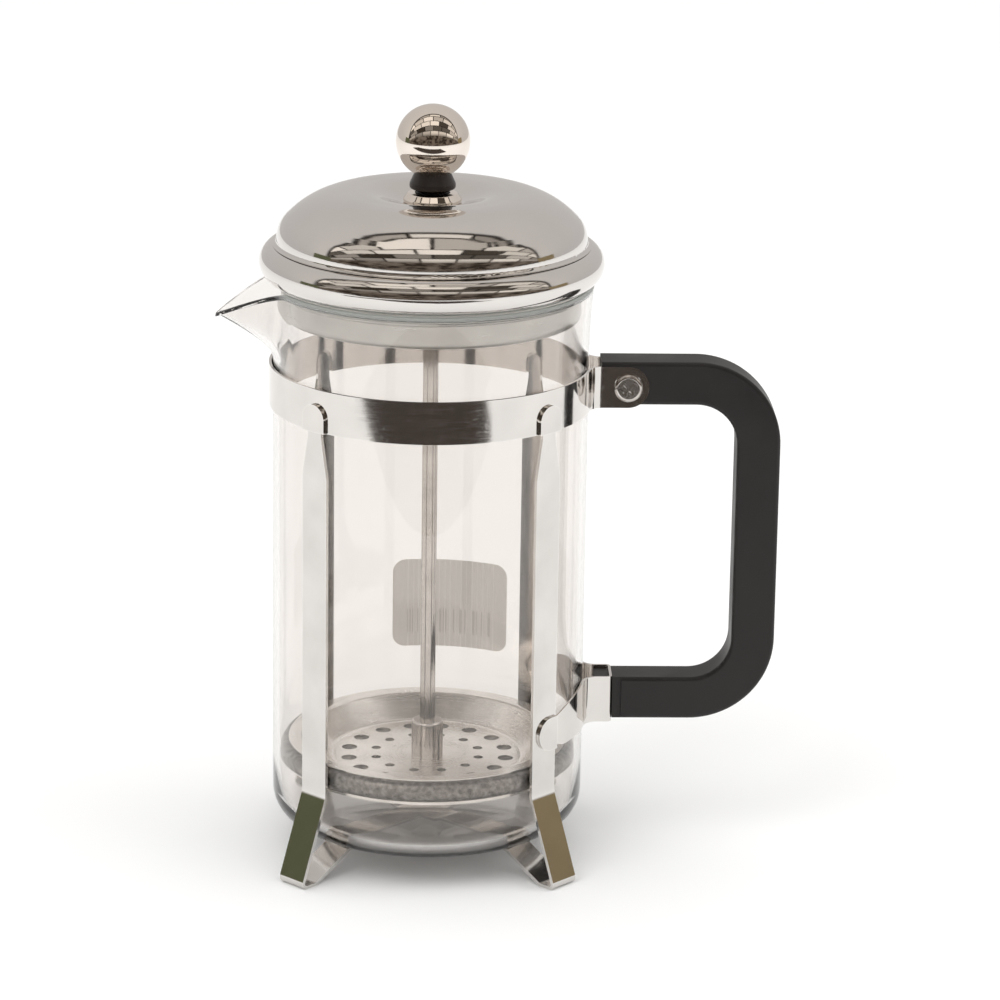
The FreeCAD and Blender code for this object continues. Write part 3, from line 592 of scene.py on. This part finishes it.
# ---- beaker -----------------------------------------------------------------------------
@dataclass
class Beaker:
    """Glass with a rounded base, a gently flared rim and a spout pulled out of the wall."""

    outside: float = 48.0 * MM
    wall: float = 2.0 * MM
    base: float = 3.0 * MM
    corner: float = 10.0 * MM
    flare_rise: float = 23.0 * MM
    spout_angle: float = 26.0
    spout_drop: float = 10.8 * MM
    spout_thinning: float = 0.9 * MM
    tip_softness: float = 0.06
    columns: int = 224
    lip_rows: int = 5

    def __post_init__(self) -> None:
        """Take the levels and the spout's reach from the frame."""
        low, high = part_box("glass_beaker")
        self.bottom = low.z
        self.rim = high.z
        self.flare = high.y - self.outside
        self.reach = -low.x - high.y

    def angles(self) -> list[float]:
        """Angles of the columns from the spout, closer together near its tip.

        Returns:
            Angles in radians, from -pi to pi.
        """
        half = self.columns // 2
        return [math.copysign(abs(step / half) ** 1.7, step) * math.pi for step in range(-half, half)]

    def pull(self, angle: float) -> float:
        """How far the spout draws the rim out at an angle, from 0 to 1.

        Args:
            angle: Angle from the spout's middle, in radians.

        Returns:
            The share of the spout's reach.
        """
        soft = self.tip_softness
        share = math.hypot(angle / math.radians(self.spout_angle), soft) - soft
        return max(0.0, 1.0 - share) ** 1.5

    def profile(self) -> list[tuple[float, float]]:
        """Outside of the glass from the middle of its base to the rim.

        Returns:
            Points of (radius, height).
        """
        flat = self.outside - self.corner
        points = [(flat * step / 8, self.bottom) for step in range(1, 8)]
        points += arc((flat, self.bottom + self.corner), self.corner, -90, 0, 12)
        straight_to = self.rim - self.flare_rise
        start = self.bottom + self.corner
        points += [(self.outside, start + (straight_to - start) * step / 14) for step in range(1, 15)]
        for step in range(1, 27):
            share = step / 26
            points.append((self.outside + self.flare * share ** 2, straight_to + self.flare_rise * share))
        return points

    def outer_rows(self) -> list[list[Vector]]:
        """Rings of the outside, with the spout pulled out of the upper ones.

        Returns:
            The rings, from the base up.
        """
        rows = []
        straight_to = self.rim - self.flare_rise
        squeeze = self.spout_drop / self.flare_rise
        for radius, height in self.profile():
            share = max(0.0, (height - straight_to) / self.flare_rise)
            row = []
            for angle in self.angles():
                pull = self.pull(angle) * share ** 1.25
                out = radius + self.reach * pull
                drop = self.pull(angle) * share * squeeze * self.flare_rise
                row.append(Vector((-out * math.cos(angle), -out * math.sin(angle), height - drop)))
            rows.append(row)
        return rows

    def build(self) -> bpy.types.Object:
        """Build the glass as one closed wall.

        Returns:
            The glass.
        """
        outer = self.outer_rows()
        columns = len(outer[0])
        inner = [self.inner_row(outer, index) for index in range(len(outer))]
        rings = outer + self.lip(outer[-1], inner[-1]) + inner[::-1]
        points = [point for row in rings for point in row]
        faces = ring_faces(len(rings), columns)
        under = len(points)
        points += [Vector((0, 0, self.bottom)), Vector((0, 0, self.bottom + self.base))]
        last = (len(rings) - 1) * columns
        for column in range(columns):
            after = (column + 1) % columns
            faces.append((under, after, column))
            faces.append((under + 1, last + column, last + after))
        return add_mesh("blown_glass", points, faces)

    def inner_row(self, outer: list[list[Vector]], index: int) -> list[Vector]:
        """Ring of the inside, set in from the outside along its normal.

        Args:
            outer: Rings of the outside.
            index: Which ring.

        Returns:
            The ring of the inside.
        """
        row = outer[index]
        below = outer[max(index - 1, 0)]
        above = outer[min(index + 1, len(outer) - 1)]
        angles = self.angles()
        result = []
        for column, point in enumerate(row):
            along = row[(column + 1) % len(row)] - row[column - 1]
            up = above[column] - below[column]
            normal = along.cross(up).normalized()
            if index < 7:
                normal = Vector((0, 0, -1))
            level = min(1.0, (point.z - self.bottom) / self.corner)
            thick = self.base + (self.wall - self.base) * level
            thick -= self.spout_thinning * self.pull(angles[column]) * (index / len(outer)) ** 6
            result.append(point - normal * thick)
        return result

    def lip(self, outside: list[Vector], inside: list[Vector]) -> list[list[Vector]]:
        """Rings that round the rim over from its outside to its inside.

        Args:
            outside: Top ring of the outside.
            inside: Top ring of the inside.

        Returns:
            The rings between them.
        """
        rings = []
        for step in range(1, self.lip_rows + 1):
            turn = math.pi * step / (self.lip_rows + 1)
            ring = []
            for first, last in zip(outside, inside):
                middle = (first + last) / 2
                half = (first - last) / 2
                lift = Vector((0, 0, half.length * math.sin(turn)))
                ring.append(middle + half * math.cos(turn) + lift)
            rings.append(ring)
        drop = max(point.z for ring in rings for point in ring) - self.rim
        for ring in rings:
            for point in ring:
                point.z -= drop
        for ring in (outside, inside):
            for point in ring:
                point.z -= drop
        return rings

    def dress(self) -> None:
        """Build and finish the glass, and finish the label on its far side."""
        # the third colour is the rim's green cast, laid on a lip that is lightened as painted light
        finish = Glass("blown_glass", (0.905, 0.882, 0.862), (0.885, 0.862, 0.842), (0.84, 0.89, 0.85),
                       self.rim)
        stand_for(self.build(), "glass_beaker", "beaker", finish)
        low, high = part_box("paper_label")
        centre = (low.x + high.x) / 2
        paper = Paper("printed_paper", (0.74, 0.71, 0.67), (0.40, 0.36, 0.33),
                      low.z + 4.5 * MM, low.z + 12.5 * MM, centre, 14.0 * MM)
        dress("paper_label", paper)


# ---- bent-strip frame and handle --------------------------------------------------------
@dataclass
class StripFrame:
    """Legs, band, bracket, handle and its screw."""

    strips: tuple[str, ...] = ("leg_strip_upper", "leg_strip_lower")
    bands: tuple[str, ...] = ("clamp_band", "handle_bracket")
    fasteners: tuple[str, ...] = ("handle_screw", "handle_nut")

    def dress(self) -> None:
        """Finish every piece of the frame."""
        for node in self.strips:
            dress(node, BRIGHT_STRIP)
        for node in self.bands:
            dress(node, BRIGHT_BAND)
        for node in self.fasteners:
            dress(node, PLATED_FASTENER)
        dress("handle_grip", BLACK_GRIP)


# ---- lid --------------------------------------------------------------------------------
@dataclass
class Lid:
    """Polished dome with its ferrule, and the duller skirt inside the glass."""

    def dress(self) -> None:
        """Finish every piece of the lid."""
        dress("lid_dome", POLISHED_DOME)
        dress("lid_ferrule", POLISHED_BALL)
        dress("lid_skirt", DULL_SKIRT)
        dress("lid_washer", PLATED_FASTENER)
        dress("lid_nut", PLATED_FASTENER)
        dress("guide_bush", BLACK_BUSH)


# ---- plunger ----------------------------------------------------------------------------
@dataclass
class WovenScreen:
    """Fine wire cloth: a web under the plate and an edge rolled round the spring."""

    wire: float = 0.08 * MM
    pitch: float = 0.40 * MM
    round: float = 2.0 * MM
    web_edge: float = 31.0 * MM
    bore: float = 2.6 * MM
    roll_width: float = 5.8 * MM
    web_sheet: float = 0.3 * MM

    def outline(self) -> list[tuple[float, float]]:
        """Closed section of the roll, stepped at the cloth's pitch.

        Returns:
            Points of (radius, height), anticlockwise.
        """
        low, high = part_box("mesh_screen")
        plate_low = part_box("filter_plate")[0].z
        outer = high.x - self.wire
        inner = high.x - self.roll_width + self.wire
        top = high.z - self.wire
        bottom = plate_low + 0.7 * MM + self.wire
        corners = [
            ((outer - self.round, bottom + self.round), -90), ((outer - self.round, top - self.round), 0),
            ((inner + self.round, top - self.round), 90), ((inner + self.round, bottom + self.round), 180),
        ]
        points: list[tuple[float, float]] = []
        for centre, first in corners:
            points += arc(centre, self.round, first, first + 90, 12)
        return self.stepped(points)

    def stepped(self, points: list[tuple[float, float]]) -> list[tuple[float, float]]:
        """Closed outline resampled to an even number of equal steps.

        Args:
            points: Corners of the outline.

        Returns:
            The new points.
        """
        closed = points + points[:1]
        lengths = [math.dist(first, second) for first, second in zip(closed, closed[1:])]
        total = sum(lengths)
        count = 2 * round(total / self.pitch / 2)
        result = []
        index, done = 0, 0.0
        for step in range(count):
            target = total * step / count
            while done + lengths[index] < target:
                done += lengths[index]
                index += 1
            share = (target - done) / lengths[index]
            first, second = closed[index], closed[index + 1]
            result.append(tuple(start + (end - start) * share for start, end in zip(first, second)))
        return result

    def build(self) -> bpy.types.Object:
        """Build the cloth with its over-and-under surface.

        Returns:
            The screen.
        """
        outline = self.outline()
        rows = len(outline)
        radius = max(point[0] for point in outline)
        columns = 2 * round(math.pi * radius / (self.pitch * 1.6))
        points: list[Point] = []
        for row, (out, height) in enumerate(outline):
            before, after = outline[row - 1], outline[(row + 1) % rows]
            side = Vector((after[1] - before[1], before[0] - after[0])).normalized()
            for column in range(columns):
                weave = self.wire if (row + column) % 2 else -self.wire
                turn = 2 * math.pi * column / columns
                reach = out + side.x * weave
                points.append((reach * math.cos(turn), reach * math.sin(turn), height + side.y * weave))
        faces = ring_faces(rows, columns, closed=True)
        web = self.web(outline)
        faces += ring_faces(len(web), columns, len(points), True)
        for out, height in web:
            for column in range(columns):
                turn = 2 * math.pi * column / columns
                points.append((out * math.cos(turn), out * math.sin(turn), height))
        return add_mesh("woven_screen", points, faces)

    def web(self, outline: list[tuple[float, float]]) -> list[tuple[float, float]]:
        """Closed section of the flat cloth between the two plates.

        Args:
            outline: Section of the roll.

        Returns:
            Points of (radius, height).
        """
        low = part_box("filter_plate")[0].z
        inner = min(point[0] for point in outline) + 1.0 * MM
        bottom = min(point[1] for point in outline) + 1.0 * MM
        top = low - 0.05 * MM
        under = top - self.web_sheet
        return [
            (self.bore, under), (self.web_edge * 0.6, under), (self.web_edge, under),
            (inner, bottom - self.web_sheet), (inner, bottom), (self.web_edge, top),
            (self.web_edge * 0.6, top), (self.bore, top),
        ]


@dataclass
class EdgeSpring:
    """Fine coil closed into a ring inside the cloth's roll."""

    turns: int = 210
    steps: int = 12
    wire: float = 0.28 * MM

    def build(self) -> bpy.types.Object:
        """Build the coil as a closed wire.

        Returns:
            The spring.
        """
        low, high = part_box("edge_spring")
        coil = (high.z - low.z) / 2
        ring = high.x - coil
        middle = (low.z + high.z) / 2
        curve = bpy.data.curves.new("edge_coil", "CURVE")
        curve.dimensions = "3D"
        curve.bevel_depth = self.wire
        curve.bevel_resolution = 1
        spline = curve.splines.new("POLY")
        count = self.turns * self.steps
        spline.points.add(count - 1)
        spline.use_cyclic_u = True
        for index in range(count):
            wind = 2 * math.pi * index / self.steps
            turn = 2 * math.pi * index / count
            out = ring + (coil - self.wire) * math.cos(wind)
            height = middle + (coil - self.wire) * math.sin(wind)
            spline.points[index].co = (out * math.cos(turn), out * math.sin(turn), height, 1.0)
        item = bpy.data.objects.new("edge_coil", curve)
        bpy.context.scene.collection.objects.link(item)
        return item


@dataclass
class Plunger:
    """Ball, collar, rod and the filter stack."""

    screen: WovenScreen = field(default_factory=WovenScreen)
    spring: EdgeSpring = field(default_factory=EdgeSpring)

    def dress(self) -> None:
        """Build the cloth and the spring, and finish every other piece."""
        stand_for(self.screen.build(), "mesh_screen", "plunger", WIRE_CLOTH)
        stand_for(self.spring.build(), "edge_spring", "plunger", SPRING_WIRE)
        dress("knob_ball", POLISHED_BALL)
        dress("knob_collar", BLACK_COLLAR)
        dress("plunger_rod", DRAWN_ROD)
        dress("rod_hub", DRAWN_ROD)
        dress("filter_plate", PRESSED_PLATE)
        dress("cross_plate", PRESSED_PLATE)
        dress("lock_washer", PLATED_FASTENER)
        dress("plunger_nut", PLATED_FASTENER)


# ---- studio -----------------------------------------------------------------------------
@dataclass
class Studio:
    """Pale floor, soft light, a tent and cards for the polished metal to reflect, and the camera."""

    azimuth: float = -1.9
    elevation: float = 16.5
    roll: float = 0.85
    distance: float = 1.3
    lens: float = 152.67
    target: Point = (21.6 * MM, 0.0, 110.6 * MM)
    floor_half: float = 8.0
    tent: float = 3.0
    room_middle: float = math.radians(20)
    room_half_turn: float = math.radians(83)
    room_half_rise: float = math.radians(82)

    def floor(self) -> None:
        """Lay the pale floor."""
        half = self.floor_half
        item = add_mesh("studio_floor", rectangle(half, half), [(0, 1, 2, 3)], smooth=False)
        item.data.materials.append(Floor().material())

    def glow(self, name: str) -> NodeSketch:
        """Start a material that gives off its own colour and reflects nothing.

        Args:
            name: Name of the material.

        Returns:
            The sketch, whose emission colour is still to be fed.
        """
        sketch = NodeSketch(name)
        sketch.constant(Roughness=1.0, Specular_IOR_Level=0.0, Emission_Strength=1.0,
                        Base_Color=(0, 0, 0, 1))
        return sketch

    def hang(self, item: bpy.types.Object, material: bpy.types.Material) -> None:
        """Dress a piece of the studio and hide it from all but polished surfaces.

        Args:
            item: The card or the tent.
            material: What it is covered in.
        """
        item.data.materials.append(material)
        for ray in ("camera", "diffuse", "transmission", "volume_scatter", "shadow"):
            setattr(item, "visible_" + ray, False)

    def card(self, name: str, centre: Point, size: tuple[float, float], facing: Point,
             colour: Colour) -> None:
        """Stand a card that only polished surfaces see.

        Args:
            name: Name of the card.
            centre: Its middle.
            size: Its width and height.
            facing: Point that it faces.
            colour: How bright it looks.
        """
        item = add_mesh(name, rectangle(size[0] / 2, size[1] / 2), [(0, 1, 2, 3)], smooth=False)
        toward = Vector(facing) - Vector(centre)
        item.matrix_world = Matrix.Translation(centre) @ toward.to_track_quat("Z", "Y").to_matrix().to_4x4()
        sketch = self.glow(name)
        shade = tuple(0.6 * part for part in colour)
        sketch.feed("Emission Color", sketch.blend(sketch.noise(5.0, 2.0), colour, shade))
        self.hang(item, sketch.material)

    def cards(self) -> None:
        """Stand the cards round the press."""
        middle = (0.0, 0.0, 0.15)
        table = (-0.28, -0.66, 0.003)
        above = (-0.28, -0.66, 1.0)
        self.card("card_table", table, (1.3, 0.5), above, (0.085, 0.070, 0.060))
        side = (0.5, 0.34)
        self.card("card_green", (-1.7, -0.08, 0.27), side, middle, (0.150, 0.160, 0.090))
        self.card("card_gold", (1.7, 0.0, 0.26), side, middle, (0.36, 0.285, 0.165))

    def room(self) -> None:
        """Raise the pale tent and the dim room before it that polished surfaces see."""
        rings, columns = 24, 96
        points = [
            (self.tent * math.cos(rise) * math.cos(turn), self.tent * math.cos(rise) * math.sin(turn),
             self.tent * math.sin(rise) + 0.002)
            for rise in (math.pi / 2 * row / rings for row in range(rings))
            for turn in (2 * math.pi * column / columns for column in range(columns))
        ]
        top = len(points)
        points.append((0.0, 0.0, self.tent))
        faces = ring_faces(rings, columns)
        last = (rings - 1) * columns
        faces += [(last + column, last + (column + 1) % columns, top) for column in range(columns)]
        self.hang(add_mesh("soft_tent", points, faces), self.room_paint())

    def room_paint(self) -> bpy.types.Material:
        """Pale cloth all round, with a dim room and its lit panes on the camera's side.

        Returns:
            The material.
        """
        sketch = self.glow("soft_tent")
        x, y, z = sketch.split()
        squares = sketch.math("ADD", sketch.math("POWER", y, 2.0), sketch.math("POWER", z, 2.0))
        span = sketch.math("SQRT", squares)
        turn = sketch.math("ARCTAN2", x, span)
        rise = sketch.math("ARCTAN2", z, sketch.math("MULTIPLY", y, -1.0))
        panes = sketch.tree.nodes.new("ShaderNodeTexBrick")
        panes.offset = 0.35
        settings = {
            "Scale": 1.0, "Brick Width": 0.40, "Row Height": 0.27, "Mortar Size": 0.016, "Bias": -0.05,
            "Color1": (0.05, 0.04, 0.03, 1), "Color2": (1.25, 1.16, 1.05, 1),
            "Mortar": (0.02, 0.016, 0.013, 1),
        }
        for name, value in settings.items():
            panes.inputs[name].default_value = value
        sketch.link(sketch.join(turn, rise, 0.0), panes.inputs["Vector"])
        walls = sketch.blend(sketch.spread(sketch.noise(2.2, 4.0), 0.0, 1.0, 0.4, 0.62),
                             (0.030, 0.022, 0.016), (0.20, 0.165, 0.135))
        dim = sketch.blend(sketch.spread(rise, 0.0, 1.0, 0.50, 0.70), walls, panes.outputs["Color"])
        across = sketch.math("DIVIDE", turn, self.room_half_turn)
        up = sketch.math("DIVIDE", sketch.math("SUBTRACT", rise, self.room_middle), self.room_half_rise)
        away = sketch.math("ADD", sketch.math("POWER", sketch.math("ABSOLUTE", across), 2.6),
                           sketch.math("POWER", sketch.math("ABSOLUTE", up), 2.6))
        cloth = sketch.blend(sketch.spread(rise, 0.0, 1.0, 1.6, 2.9), (0.72, 0.69, 0.66), (0.62, 0.60, 0.585))
        rimmed = sketch.blend(sketch.spread(away, 0.0, 1.0, 0.90, 0.94), dim, (0.03, 0.024, 0.02))
        sketch.feed("Emission Color", sketch.blend(sketch.spread(away, 0.0, 1.0, 1.0, 1.06), rimmed, cloth))
        return sketch.material

    def light(self, name: str, centre: Point, size: float, power: float) -> None:
        """Hang a soft square light that points at the press.

        Args:
            name: Name of the light.
            centre: Where it hangs.
            size: Its width.
            power: Its power in watts.
        """
        lamp = bpy.data.lights.new(name, "AREA")
        lamp.energy = power
        lamp.size = size
        item = bpy.data.objects.new(name, lamp)
        bpy.context.scene.collection.objects.link(item)
        aim = Vector((0, 0, 0.1)) - Vector(centre)
        item.matrix_world = Matrix.Translation(centre) @ aim.to_track_quat("-Z", "Y").to_matrix().to_4x4()
        item.visible_glossy = False

    def world(self) -> None:
        """Fill the room with even white light."""
        world = bpy.data.worlds.new("soft_room")
        world.use_nodes = True
        back = world.node_tree.nodes["Background"]
        back.inputs["Color"].default_value = (1.0, 0.995, 0.985, 1.0)
        back.inputs["Strength"].default_value = 1.0
        bpy.context.scene.world = world

    def camera(self) -> None:
        """Set the camera at the viewing angle, with its slight roll."""
        turn, rise, roll = (math.radians(angle) for angle in (self.azimuth, self.elevation, self.roll))
        back = Vector((math.sin(turn) * math.cos(rise), -math.cos(turn) * math.cos(rise), math.sin(rise)))
        level = Vector((math.cos(turn), math.sin(turn), 0))
        upright = back.cross(level)
        right = level * math.cos(roll) + upright * math.sin(roll)
        up = upright * math.cos(roll) - level * math.sin(roll)
        lens = bpy.data.cameras.new("camera")
        lens.lens = self.lens
        lens.sensor_width = 36.0
        lens.clip_start = 0.01
        item = bpy.data.objects.new("camera", lens)
        bpy.context.scene.collection.objects.link(item)
        turned = Matrix((right, up, back)).transposed().to_4x4()
        item.matrix_world = Matrix.Translation(Vector(self.target) + back * self.distance) @ turned
        bpy.context.scene.camera = item

    def build(self) -> None:
        """Set up the whole studio."""
        self.floor()
        self.cards()
        self.room()
        self.light("key_light", (-1.1, -1.2, 1.9), 1.4, 14.0)
        self.light("fill_light", (1.5, -0.4, 1.6), 1.6, 8.0)
        self.world()
        self.camera()
        bpy.context.scene.view_settings.view_transform = "Standard"


def main() -> None:
    """Dress the press, sub-assembly by sub-assembly, and set it in the studio."""
    logging.basicConfig(level=logging.INFO, format="%(name)s: %(message)s")
    Studio().build()
    for part in (Beaker(), StripFrame(), Lid(), Plunger()):
        part.dress()
        LOG.info("%s is ready", type(part).__name__)


if __name__ == "__main__":
    main()
